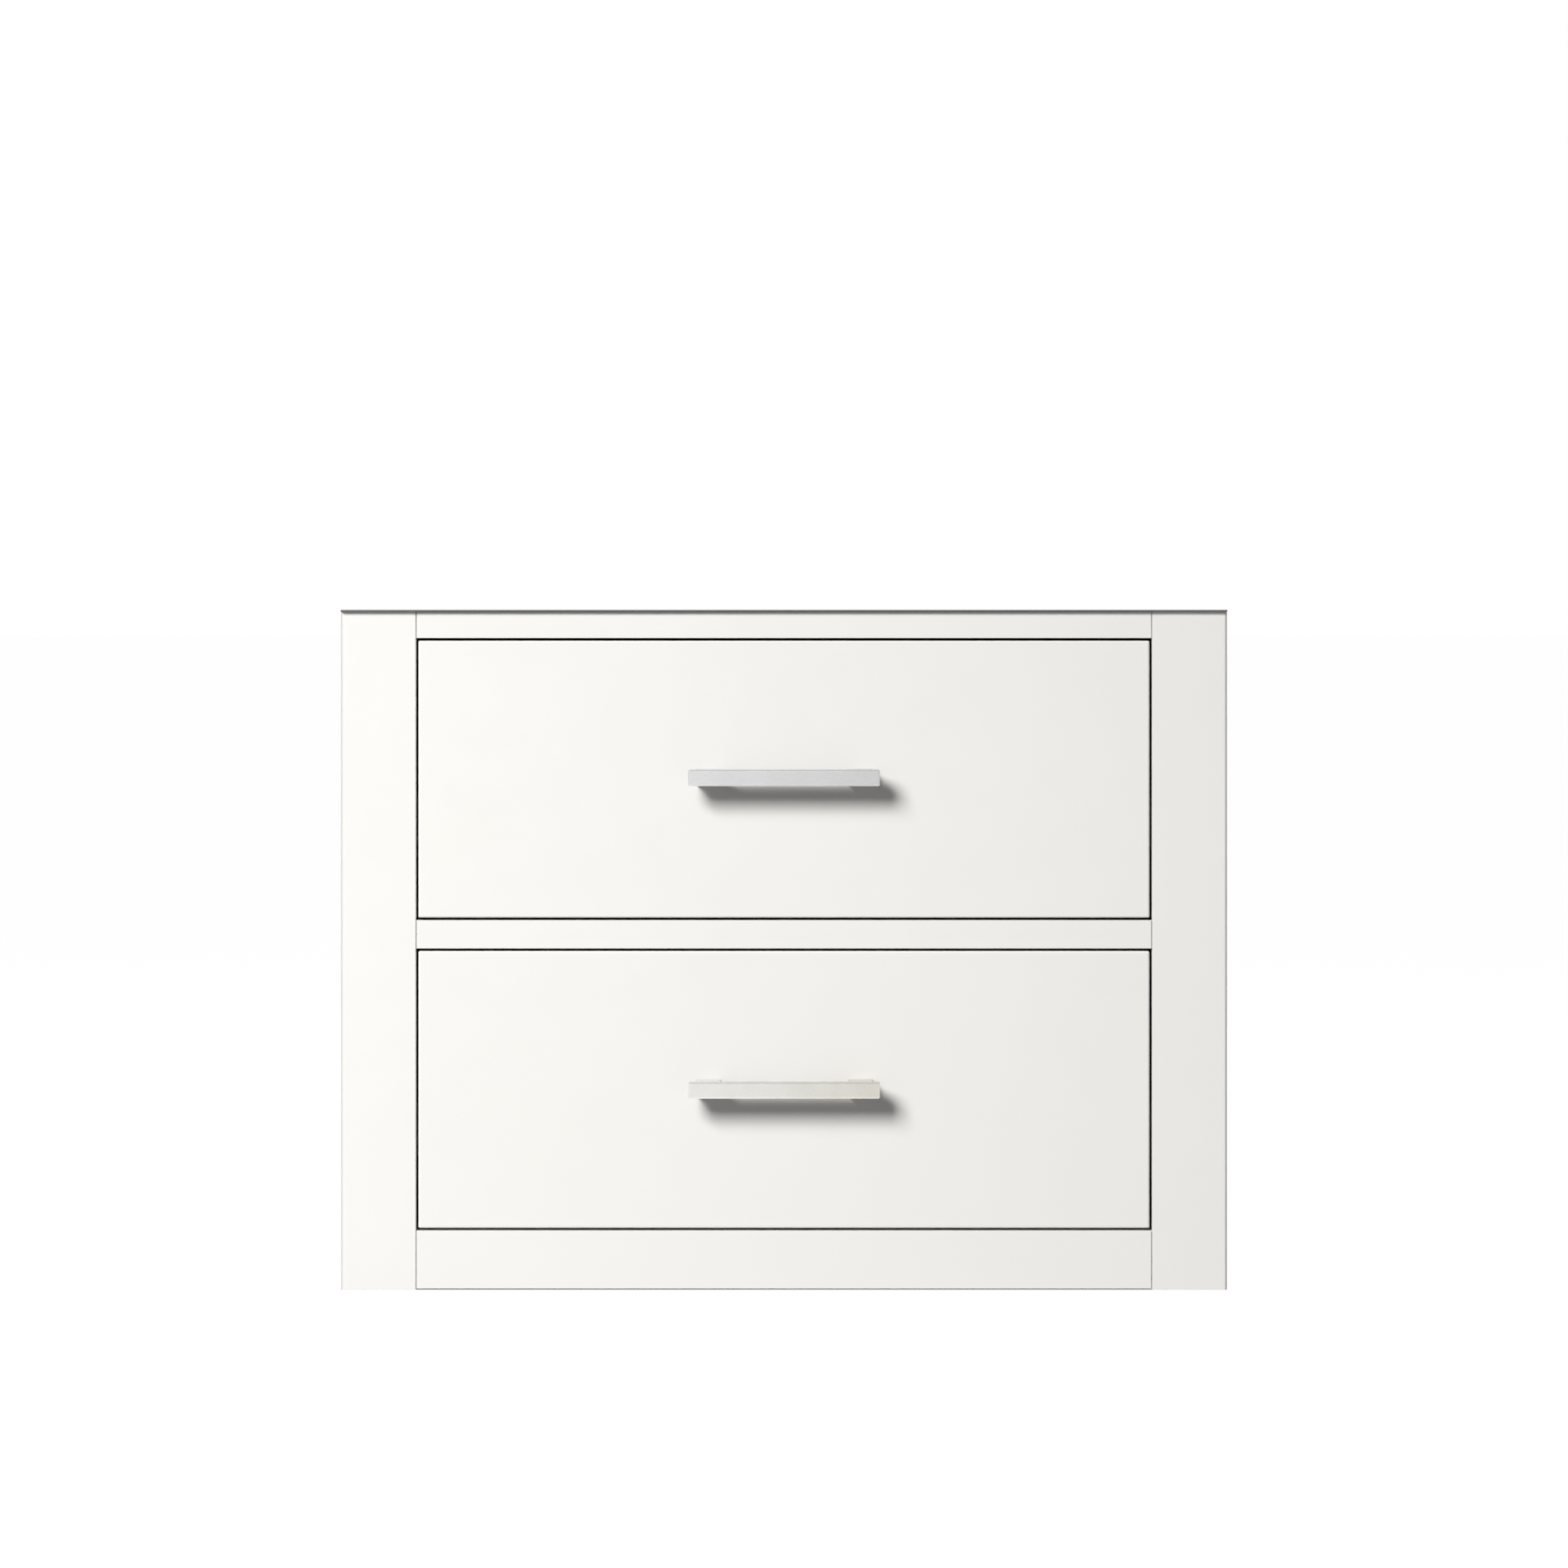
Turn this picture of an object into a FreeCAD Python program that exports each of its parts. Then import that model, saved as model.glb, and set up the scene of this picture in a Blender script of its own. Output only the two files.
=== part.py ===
import FreeCAD, Part
import os

# Two-drawer nightstand with a flush face frame and inset drawer fronts, one STEP file per piece.
# Millimetres, +Z up, +X to the right as one faces it, front towards -Y. The origin is on the floor,
# under the middle of the overall box, handles included.

V = FreeCAD.Vector

# Overall size
overall_width = 763.2
overall_height = 585.5
cabinet_depth = 457.0
sheet_thickness = 1.4
sheet_overhang = 4.5
sheet_arris = 0.3

# Face frame
stile_width = 64.65
frame_thickness = 20.0
bottom_rail_top = 50.9
rail_floor_gap = 1.0
opening_height = 242.9
middle_rail_height = 24.4
tenon_thickness = 10.0
tenon_length = 22.0
tenon_shoulder = 4.0
mortise_spare = 1.0
corner_radius = 2.5
seam_width = 0.6
seam_depth = 3.0
arris = 0.3

# Panels
panel_thickness = 18.0
back_thickness = 6.0
back_rabbet = 9.0
back_floor_gap = 6.0

# Drawers
reveal = 2.2
front_edge_radius = 1.0
box_board = 15.0
box_height = 195.0
box_depth = 405.0
box_floor_clearance = 14.0
box_bottom_thickness = 6.0
box_bottom_rise = 12.0
groove_depth = 7.0
groove_play = 0.1
box_edge_radius = 1.5
tail_count = 5
tail_end_width = 27.0
tail_slope = 1.0 / 6.0

# Handles
handle_projection = 33.0
bar_length = 164.0
handle_lift = 2.0
bar_height = 14.0
bar_thickness = 12.0
bar_bevel = 1.4
foot_spacing = 131.0
foot_width = 21.0
foot_bore_depth = 12.0
small_bevel = 0.5

# Ball-bearing runners, in the runner's own section: u goes from the cabinet to the drawer, w goes up
runner_thickness = 12.7
runner_length = 400.0
runner_setback = 3.0
runner_rise = 85.0
runner_block_height = 70.0
runner_block_back_gap = 8.0
member_sheet = 1.2
fold_share = 0.8
slot_length = 12.0
slot_height = 4.4
slot_play = 0.5
slot_offsets = (85.0, 125.0, 160.0, 245.0, 285.0, 325.0)
outer_half_height = 22.5
outer_reach = 10.0
race_gap = 3.0
middle_start = 5.2
middle_end = 11.0
inner_start = 7.8
ball_radius = 1.6
race_radius = 1.9
outer_ball_u = 7.6
inner_ball_u = 9.4
cage_sheet = 0.6
outer_cage_u = 3.4
inner_cage_u = 6.8
cage_start = 100.0
cage_length = 190.0
cage_lip = 2.2
balls_per_row = 8
cage_play = 0.15
pocket_depth = 2.0

# Fasteners. The tip's length is in shank radii, recesses and domes are in head radii or head heights
dowel_radius = 4.0
dowel_short_end = 10.0
dowel_long_end = 19.0
dowel_bevel = 0.8
dowel_heights = (80.0, 291.0, 500.0)
dowel_depths = (-140.0, 20.0, 180.0)
dowel_columns = (-220.0, 0.0, 220.0)
dowel_end_play = 0.5
hole_play = 0.05
screw_tip_radius = 0.2
screw_tip_length = 1.6
countersunk_recess_depth = 0.8
pan_dome = 0.6
pan_recess_width = 1.05
pan_recess_depth = 0.7
recess_arm_share = 0.2
corner_block_leg = 45.0
corner_block_lift = 3.0
counterbore_depth = 15.0
counterbore_radius = 5.2
corner_screw_near = 12.0
corner_screw_far = 25.0
block_screw_rise = 29.0
block_screw_offsets = (40.0, 215.0, 390.0)
back_screw_heights = (30.0, 170.0, 310.0, 450.0)
back_screw_columns = (-330.0, -165.0, 0.0, 165.0, 330.0)
runner_screw_offsets = (35.0, 200.0, 365.0)
front_screw_columns = (-230.0, 230.0)
front_screw_heights = (45.0, 155.0)

# Levels and planes that follow from the above
half_width = overall_width / 2
frame_face_y = (handle_projection - cabinet_depth) / 2
frame_back_y = frame_face_y + frame_thickness
back_y = frame_face_y + cabinet_depth
back_panel_y = back_y - back_thickness
carcass_top = overall_height - sheet_thickness
inner_side_x = half_width - panel_thickness
opening_half_width = half_width - stile_width
lower_opening_z = bottom_rail_top
middle_rail_z = lower_opening_z + opening_height
upper_opening_z = middle_rail_z + middle_rail_height
top_rail_z = upper_opening_z + opening_height
openings = {"upper": upper_opening_z, "lower": lower_opening_z}
sides = {"left": -1, "right": 1}

box_half_width = opening_half_width - runner_thickness
box_inner_half_width = box_half_width - box_board
box_front_y = frame_back_y
box_back_y = box_front_y + box_depth
box_inner_y = box_front_y + box_board
runner_front_y = frame_back_y + runner_setback

middle_half_height = outer_half_height - member_sheet - race_gap
inner_half_height = middle_half_height - member_sheet - race_gap
outer_ball_w = outer_half_height - member_sheet - race_gap / 2
inner_ball_w = middle_half_height - member_sheet - race_gap / 2


# ---- Helpers

def block(x, y, z):
    """Box from three (low, high) pairs, in any order within a pair."""
    (x0, x1), (y0, y1), (z0, z1) = (sorted(pair) for pair in (x, y, z))
    return Part.makeBox(x1 - x0, y1 - y0, z1 - z0, V(x0, y0, z0))


def prism(points, along):
    """Closed outline of points, swept along a vector."""
    return Part.Face(Part.makePolygon(points + points[:1])).extrude(along)


def joined(shapes):
    first, *rest = shapes
    return first.fuse(rest).removeSplitter() if rest else first


def cut(shape, tools):
    return shape.cut(tools) if tools else shape


def edges_at(shape, test):
    """Straight edges whose two ends both pass the test."""
    return [e for e in shape.Edges if len(e.Vertexes) == 2 and all(test(v.Point) for v in e.Vertexes)]


def near(value, target):
    return abs(value - target) < 0.01


def rounded(shape, radius, test):
    return shape.makeFillet(radius, edges_at(shape, test))


def bevelled(shape, size, test):
    return shape.makeChamfer(size, edges_at(shape, test))


def placed(shape, point, direction):
    """Copy of a shape made along -Z from the origin, moved to point and turned to direction."""
    copy = shape.copy()
    copy.Placement = FreeCAD.Placement(point, FreeCAD.Rotation(V(0, 0, -1), direction))
    return copy


def save(name, shapes):
    shape = Part.makeCompound(shapes) if isinstance(shapes, list) else shapes
    solids = shape.Solids
    bad = [s for s in solids if not s.isValid() or s.Volume <= 0]
    shape.exportStep(f"parts/{name}.step")
    print(f"{name}: {len(solids)} solid(s), {shape.Volume / 1000:.2f} cm3{', INVALID' if bad else ''}")


# ---- Fasteners, each made along -Z with the underside or top of its head at the origin

def cross_recess(top, size, depth):
    """Cross-shaped driver recess that opens at height top."""
    arm = size * recess_arm_share
    low = top - depth
    return [
        block((-size / 2, size / 2), (-arm / 2, arm / 2), (low, top + 1)),
        block((-arm / 2, arm / 2), (-size / 2, size / 2), (low, top + 1)),
    ]


class Countersunk:
    """Countersunk screw: head flush with the surface it is driven into."""

    def __init__(self, length, shank_radius, head_radius):
        self.length, self.shank, self.head = length, shank_radius, head_radius
        self.head_height = head_radius - shank_radius

    def solid(self):
        tip = self.shank * screw_tip_length
        body = Part.makeCylinder(self.shank, self.length - tip, V(0, 0, 0), V(0, 0, -1))
        point = Part.makeCone(self.shank, screw_tip_radius, tip, V(0, 0, tip - self.length), V(0, 0, -1))
        head = Part.makeCone(self.head, self.shank, self.head_height, V(0, 0, 0), V(0, 0, -1))
        recess = cross_recess(0, self.head, self.head_height * countersunk_recess_depth)
        return joined([head, body, point]).cut(recess)

    def hole(self):
        play = hole_play
        shaft = Part.makeCylinder(self.shank + play, self.length + play, V(0, 0, 0), V(0, 0, -1))
        sink = Part.makeCone(
            self.head + play, self.shank + play, self.head_height + play, V(0, 0, 0), V(0, 0, -1)
        )
        return joined([shaft, sink])


class PanHead:
    """Pan-head screw: domed head standing on the surface it is driven into."""

    def __init__(self, length, shank_radius, head_radius, head_height):
        self.length, self.shank = length, shank_radius
        self.head, self.head_height = head_radius, head_height

    def solid(self):
        body = Part.makeCylinder(self.shank, self.length, V(0, 0, 0), V(0, 0, -1))
        head = Part.makeCylinder(self.head, self.head_height, V(0, 0, 0), V(0, 0, 1))
        rim = [e for e in head.Edges if e.Closed and near(e.Vertexes[0].Z, self.head_height)]
        head = head.makeFillet(self.head_height * pan_dome, rim)
        width, depth = self.head * pan_recess_width, self.head_height * pan_recess_depth
        recess = cross_recess(self.head_height, width, depth)
        return joined([head, body]).cut(recess)

    def hole(self):
        return Part.makeCylinder(self.shank + hole_play, self.length + hole_play, V(0, 0, 0), V(0, 0, -1))


wood_screw = Countersunk(length=45.0, shank_radius=2.25, head_radius=4.4)
back_screw = Countersunk(length=16.0, shank_radius=1.75, head_radius=3.5)
front_screw = Countersunk(length=30.0, shank_radius=2.0, head_radius=4.0)
runner_screw = PanHead(length=12.0, shank_radius=2.0, head_radius=3.6, head_height=1.6)
handle_screw = PanHead(length=45.0, shank_radius=2.0, head_radius=4.0, head_height=2.6)


def fastened(screw, places):
    """The screws at a list of (point, direction) places, and the holes they need."""
    return (
        [placed(screw.solid(), *place) for place in places],
        [placed(screw.hole(), *place) for place in places],
    )


# ---- Carcass dowels

def dowel_places():
    """Junction points, with the direction that goes into the piece holding the longer end."""
    places = []
    panel_levels = (carcass_top - panel_thickness / 2, bottom_rail_top - panel_thickness / 2)
    for sign in sides.values():
        edge_x = sign * (half_width - panel_thickness / 2)
        places += [(V(edge_x, frame_back_y, z), V(0, 1, 0)) for z in dowel_heights]
        for z in panel_levels:
            places += [(V(sign * inner_side_x, y, z), V(-sign, 0, 0)) for y in dowel_depths]
        rear_rail_y = back_panel_y - panel_thickness / 2
        places.append((V(sign * inner_side_x, rear_rail_y, panel_thickness), V(-sign, 0, 0)))
    for z in panel_levels:
        places += [(V(x, frame_back_y, z), V(0, 1, 0)) for x in dowel_columns]
    return places


def dowels():
    length = dowel_short_end + dowel_long_end
    pin = Part.makeCylinder(dowel_radius, length, V(0, 0, dowel_short_end), V(0, 0, -1))
    pin = pin.makeChamfer(dowel_bevel, [e for e in pin.Edges if e.Closed])
    mouth = V(0, 0, dowel_short_end + dowel_end_play)
    hole = Part.makeCylinder(dowel_radius + hole_play, length + 2 * dowel_end_play, mouth, V(0, 0, -1))
    places = dowel_places()
    return [placed(pin, *p) for p in places], [placed(hole, *p) for p in places]


# ---- Screws of the cabinet

def corner_points():
    """Inner corners under the bottom panel, each with the signs that lead into the cabinet."""
    rear_rail_front = back_panel_y - panel_thickness
    for sign in sides.values():
        yield V(sign * inner_side_x, frame_back_y, 0), -sign, 1
        yield V(sign * inner_side_x, rear_rail_front, 0), -sign, -1


def corner_screw_places():
    places = []
    for corner, dx, dy in corner_points():
        for a, b in ((corner_screw_near, corner_screw_far), (corner_screw_far, corner_screw_near)):
            places.append((V(corner.x + dx * a, corner.y + dy * b, corner_block_lift), V(0, 0, 1)))
    return places


def runner_z(level):
    return openings[level] + runner_rise


def block_screw_places(level, sign):
    z = runner_z(level) + block_screw_rise
    x = sign * (opening_half_width + counterbore_depth)
    return [(V(x, frame_back_y + y, z), V(sign, 0, 0)) for y in block_screw_offsets]


def back_screw_places():
    side_x = inner_side_x + back_rabbet / 2
    places = [(side_x * s, z) for s in sides.values() for z in back_screw_heights]
    levels = (carcass_top - panel_thickness / 2, bottom_rail_top - panel_thickness / 2)
    places += [(x, z) for z in levels for x in back_screw_columns]
    return [(V(x, back_y, z), V(0, -1, 0)) for x, z in places]


# ---- Face frame

def rail(z0, z1):
    """Rail between the stiles, with a tenon on each end and a fine open seam beside each stile."""
    x = opening_half_width
    seam_y = (frame_face_y, frame_face_y + seam_depth)
    body = block((-x, x), (frame_face_y, frame_back_y), (z0, z1))
    body = cut(body, [block((s * x, s * (x - seam_width)), seam_y, (z0, z1)) for s in sides.values()])
    body = bevelled(body, arris, lambda p: near(p.y, frame_face_y))
    return joined([body, tenon_bar(z0, z1)])


def tenon_bar(z0, z1):
    """Both tenons of a rail, as one bar right through it."""
    x = opening_half_width + tenon_length
    middle = frame_face_y + frame_thickness / 2
    return block(
        (-x, x),
        (middle - tenon_thickness / 2, middle + tenon_thickness / 2),
        (z0 + tenon_shoulder, z1 - tenon_shoulder),
    )


rail_levels = {
    "top_rail": (top_rail_z, carcass_top),
    "middle_rail": (middle_rail_z, upper_opening_z),
    "bottom_rail": (rail_floor_gap, bottom_rail_top),
}


def stile(sign):
    outer, inner = sign * half_width, sign * opening_half_width
    body = block((inner, outer), (frame_face_y, frame_back_y), (0, carcass_top))
    body = rounded(body, corner_radius, lambda p: near(p.x, outer) and near(p.y, frame_face_y))
    body = bevelled(body, arris, lambda p: near(p.x, inner) and near(p.y, frame_face_y))
    mortise_end = sign * (opening_half_width + tenon_length + mortise_spare)
    mortises = []
    for z0, z1 in rail_levels.values():
        tenon = tenon_bar(z0, z1).BoundBox
        mortises.append(block((inner, mortise_end), (tenon.YMin, tenon.YMax), (tenon.ZMin, tenon.ZMax)))
    return cut(body, mortises)


# ---- Panels

def side_panel(sign):
    outer, inner = sign * half_width, sign * inner_side_x
    body = block((inner, outer), (frame_back_y, back_y), (0, carcass_top))
    body = rounded(body, front_edge_radius, lambda p: near(p.x, outer) and near(p.y, back_y))
    rabbet = block(
        (inner, inner + sign * back_rabbet), (back_panel_y, back_y), (back_floor_gap, carcass_top)
    )
    return cut(body, [rabbet])


def flat_panel(z0):
    """Horizontal board between the side panels, from the frame to the back panel."""
    return block((-inner_side_x, inner_side_x), (frame_back_y, back_panel_y), (z0, z0 + panel_thickness))


def back_panel():
    x = inner_side_x + back_rabbet
    return block((-x, x), (back_panel_y, back_y), (back_floor_gap, carcass_top))


def rear_rail():
    y = (back_panel_y - panel_thickness, back_panel_y)
    return block(
        (-inner_side_x, inner_side_x), y, (rail_floor_gap, bottom_rail_top - panel_thickness)
    )


def top_sheet():
    """Thin sheet over the whole top, standing proud of the face frame."""
    front = frame_face_y - sheet_overhang
    body = block((-half_width, half_width), (front, back_y), (carcass_top, overall_height))
    corners = [e for e in body.Edges if near(e.Vertexes[0].X, e.Vertexes[1].X)
               and near(e.Vertexes[0].Y, e.Vertexes[1].Y)]
    body = body.makeFillet(corner_radius, corners)
    top = overall_height
    return body.makeChamfer(sheet_arris, [e for e in body.Edges if all(near(v.Z, top) for v in e.Vertexes)])


def corner_block(corner, dx, dy):
    z0, z1 = corner_block_lift, bottom_rail_top - panel_thickness
    leg = corner_block_leg
    points = [
        V(corner.x, corner.y, z0),
        V(corner.x + dx * leg, corner.y, z0),
        V(corner.x, corner.y + dy * leg, z0),
    ]
    return prism(points, V(0, 0, z1 - z0))


def runner_block(level, sign):
    """Packing block that brings the side panel out to the edge of the opening, for a runner."""
    half = runner_block_height / 2
    body = block(
        (sign * opening_half_width, sign * inner_side_x),
        (frame_back_y, back_panel_y - runner_block_back_gap),
        (runner_z(level) - half, runner_z(level) + half),
    )
    bores = []
    for point, direction in block_screw_places(level, sign):
        mouth = V(point.x - direction.x * counterbore_depth, point.y, point.z)
        bores.append(Part.makeCylinder(counterbore_radius, counterbore_depth, mouth, direction))
    return cut(body, bores)


# ---- Runners. The section is drawn in (u, w) and swept along Y.

def swept(sign, level, u, w, y, length):
    """Bar of the runner with section u by w, both (low, high), mirrored for the left side."""
    x = [sign * (opening_half_width - value) for value in u]
    z = [runner_z(level) + value for value in w]
    return block(x, (y, y + length), z)


def channel(sign, level, web, reach, half_height, sheet, y, length):
    """C section: a web from u = web[0] to web[1], and two flanges that reach to u = reach."""
    parts = [swept(sign, level, web, (-half_height, half_height), y, length)]
    for up in (1, -1):
        edge = sorted((up * half_height, up * (half_height - sheet)))
        parts.append(swept(sign, level, (min(web[0], reach), max(web[1], reach)), edge, y, length))
    fold_u = web[0] if reach > web[1] else web[1]
    fold_x = sign * (opening_half_width - fold_u)
    levels_z = [runner_z(level) + up * half_height for up in (1, -1)]
    return rounded(joined(parts), sheet * fold_share,
                   lambda p: near(p.x, fold_x) and any(near(p.z, z) for z in levels_z))


def web_slots(sign, level, web, y):
    """Round-ended slots through a member's web, as cutting tools."""
    half_run, radius = (slot_length - slot_height) / 2, slot_height / 2
    u = (web[0] - slot_play, web[1] + slot_play)
    x = min(sign * (opening_half_width - value) for value in u)
    tools = []
    for middle in (y + offset for offset in slot_offsets):
        straight = swept(sign, level, u, (-radius, radius), middle - half_run, 2 * half_run)
        ends = [
            Part.makeCylinder(radius, u[1] - u[0], V(x, middle + end * half_run, runner_z(level)), V(1, 0, 0))
            for end in (-1, 1)
        ]
        tools.append(joined([straight] + ends))
    return tools


def race(sign, level, u, w, y, length):
    """The two grooves that a pair of ball rows runs in, as cutting tools."""
    x = sign * (opening_half_width - u)
    return [
        Part.makeCylinder(race_radius, length, V(x, y, runner_z(level) + up * w), V(0, 1, 0))
        for up in (1, -1)
    ]


def runner_screw_ys():
    return [runner_front_y + offset for offset in runner_screw_offsets]


def cabinet_screw_places(level, sign):
    x = sign * (opening_half_width - member_sheet)
    return [(V(x, y, runner_z(level)), V(sign, 0, 0)) for y in runner_screw_ys()]


def drawer_screw_places(level, sign):
    x = sign * (box_half_width + member_sheet)
    return [(V(x, y, runner_z(level)), V(-sign, 0, 0)) for y in runner_screw_ys()]


def outer_member(level, sign):
    y, length = runner_front_y, runner_length
    web = (0, member_sheet)
    body = channel(sign, level, web, outer_reach, outer_half_height, member_sheet, y, length)
    races = race(sign, level, outer_ball_u, outer_ball_w, y, length)
    return cut(body, races + web_slots(sign, level, web, y))


def middle_member(level, sign):
    y, length = runner_front_y, runner_length
    web = (middle_start, middle_start + member_sheet)
    body = channel(sign, level, web, middle_end, middle_half_height, member_sheet, y, length)
    races = race(sign, level, outer_ball_u, outer_ball_w, y, length)
    races += race(sign, level, inner_ball_u, inner_ball_w, y, length)
    return cut(body, races + web_slots(sign, level, web, y))


def inner_member(level, sign):
    y, length = runner_front_y, runner_length
    web = (runner_thickness - member_sheet, runner_thickness)
    body = channel(sign, level, web, inner_start, inner_half_height, member_sheet, y, length)
    races = race(sign, level, inner_ball_u, inner_ball_w, y, length)
    return cut(body, races + web_slots(sign, level, web, y))


def ball_cage(level, sign, cage_u, ball_u, ball_w):
    """Pressed strip with two rows of pockets, and the balls that sit in them."""
    y = runner_front_y + cage_start
    half = ball_w + cage_sheet / 2
    web, reach = (cage_u, cage_u + cage_sheet), ball_u + cage_lip
    strip = channel(sign, level, web, reach, half, cage_sheet, y, cage_length)
    pitch = cage_length / balls_per_row
    x = sign * (opening_half_width - ball_u)
    centres = [
        V(x, y + pitch * (n + 0.5), runner_z(level) + up * ball_w)
        for up in (1, -1)
        for n in range(balls_per_row)
    ]
    low = V(0, 0, -pocket_depth / 2)
    pockets = [Part.makeCylinder(ball_radius + cage_play, pocket_depth, c + low, V(0, 0, 1)) for c in centres]
    return [cut(strip, pockets)] + [Part.makeSphere(ball_radius, c) for c in centres]


# ---- Drawers

def tails(sign, end_y, into, z0):
    """Dovetail tails of one drawer side at one end; into is the Y direction away from that end."""
    pitch = box_height / tail_count
    base_y = end_y + into * box_board
    spread = box_board * tail_slope
    x = sign * box_inner_half_width
    shapes = []
    for n in range(tail_count):
        centre = z0 + pitch * (n + 0.5)
        wide, narrow = tail_end_width / 2, tail_end_width / 2 - spread
        points = [
            V(x, end_y, centre - wide),
            V(x, end_y, centre + wide),
            V(x, base_y, centre + narrow),
            V(x, base_y, centre - narrow),
        ]
        shapes.append(prism(points, V(sign * box_board, 0, 0)))
    return shapes


def bottom_board(z0, play):
    """The drawer's bottom, or with play its groove."""
    x = box_inner_half_width + groove_depth - groove_play + play
    near_y = box_inner_y - groove_depth + groove_play - play
    far_y = box_back_y - box_board + groove_depth - groove_play + play
    low = z0 + box_bottom_rise
    return block((-x, x), (near_y, far_y), (low - play, low + box_bottom_thickness + play))


def box_side(sign, z0):
    inner, outer = sign * box_inner_half_width, sign * box_half_width
    body = block((inner, outer), (box_inner_y, box_back_y - box_board), (z0, z0 + box_height))
    top = z0 + box_height
    body = rounded(body, box_edge_radius, lambda p: near(p.z, top) and (near(p.x, inner) or near(p.x, outer)))
    both = tails(sign, box_front_y, 1, z0) + tails(sign, box_back_y, -1, z0)
    return cut(joined([body] + both), [bottom_board(z0, groove_play)])


def box_end(end_y, into, z0):
    """Front or back board of a drawer box: the pins between the tails of both sides."""
    other_y = end_y + into * box_board
    body = block((-box_half_width, box_half_width), (end_y, other_y), (z0, z0 + box_height))
    top = z0 + box_height
    body = rounded(body, box_edge_radius, lambda p: near(p.z, top))
    tools = [t for sign in sides.values() for t in tails(sign, end_y, into, z0)]
    return cut(body, tools + [bottom_board(z0, groove_play)])


def drawer_front(z0):
    x = opening_half_width - reveal
    body = block((-x, x), (frame_face_y, frame_back_y), (z0 + reveal, z0 + opening_height - reveal))
    return rounded(body, front_edge_radius, lambda p: near(p.y, frame_face_y))


def handle_bar(centre_z):
    y0 = frame_face_y - handle_projection
    x, z = bar_length / 2, bar_height / 2
    body = block((-x, x), (y0, y0 + bar_thickness), (centre_z - z, centre_z + z))
    body = bevelled(body, bar_bevel, lambda p: near(p.y, y0))
    return bevelled(body, small_bevel, lambda p: near(p.y, y0 + bar_thickness))


def handle_foot(x, centre_z):
    half, z = foot_width / 2, bar_height / 2
    y = (frame_face_y - handle_projection + bar_thickness, frame_face_y)
    body = block((x - half, x + half), y, (centre_z - z, centre_z + z))
    mouth = V(x, frame_face_y, centre_z)
    bore = Part.makeCylinder(handle_screw.shank + hole_play, foot_bore_depth, mouth, V(0, -1, 0))
    return cut(bevelled(body, small_bevel, lambda p: True), [bore])


def handle_screw_places(centre_z):
    return [(V(s * foot_spacing / 2, box_inner_y, centre_z), V(0, -1, 0)) for s in (-1, 1)]


def front_screw_places(z0):
    return [
        (V(x, box_inner_y, z0 + box_floor_clearance + z), V(0, -1, 0))
        for x in front_screw_columns
        for z in front_screw_heights
    ]


# ---- Build

def build_cabinet():
    dowel_pins, dowel_holes = dowels()
    back_screws, back_holes = fastened(back_screw, back_screw_places())
    wood_places = corner_screw_places()
    cabinet_places = []
    for level in openings:
        for sign in sides.values():
            wood_places += block_screw_places(level, sign)
            cabinet_places += cabinet_screw_places(level, sign)
    wood_screws, wood_holes = fastened(wood_screw, wood_places)
    runner_screws, runner_holes = fastened(runner_screw, cabinet_places)
    holes = dowel_holes + back_holes + wood_holes + runner_holes

    def drilled(shape):
        """The shape with the holes that reach it."""
        return cut(shape, [h for h in holes if h.BoundBox.intersect(shape.BoundBox)])

    for name, (z0, z1) in rail_levels.items():
        save(name, drilled(rail(z0, z1)))
    for side, sign in sides.items():
        save(f"{side}_stile", drilled(stile(sign)))
        save(f"{side}_side_panel", drilled(side_panel(sign)))
    save("top_board", drilled(flat_panel(carcass_top - panel_thickness)))
    save("bottom_panel", drilled(flat_panel(bottom_rail_top - panel_thickness)))
    save("rear_bottom_rail", drilled(rear_rail()))
    save("back_panel", drilled(back_panel()))
    save("top_sheet", top_sheet())
    save("corner_blocks", [drilled(corner_block(*place)) for place in corner_points()])
    for level in openings:
        for side, sign in sides.items():
            save(f"{level}_{side}_runner_block", drilled(runner_block(level, sign)))
            save(f"{level}_{side}_runner_outer", drilled(outer_member(level, sign)))
    save("carcass_dowels", dowel_pins)
    save("cabinet_wood_screws", wood_screws)
    save("back_panel_screws", back_screws)
    save("runner_cabinet_screws", runner_screws)


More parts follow.
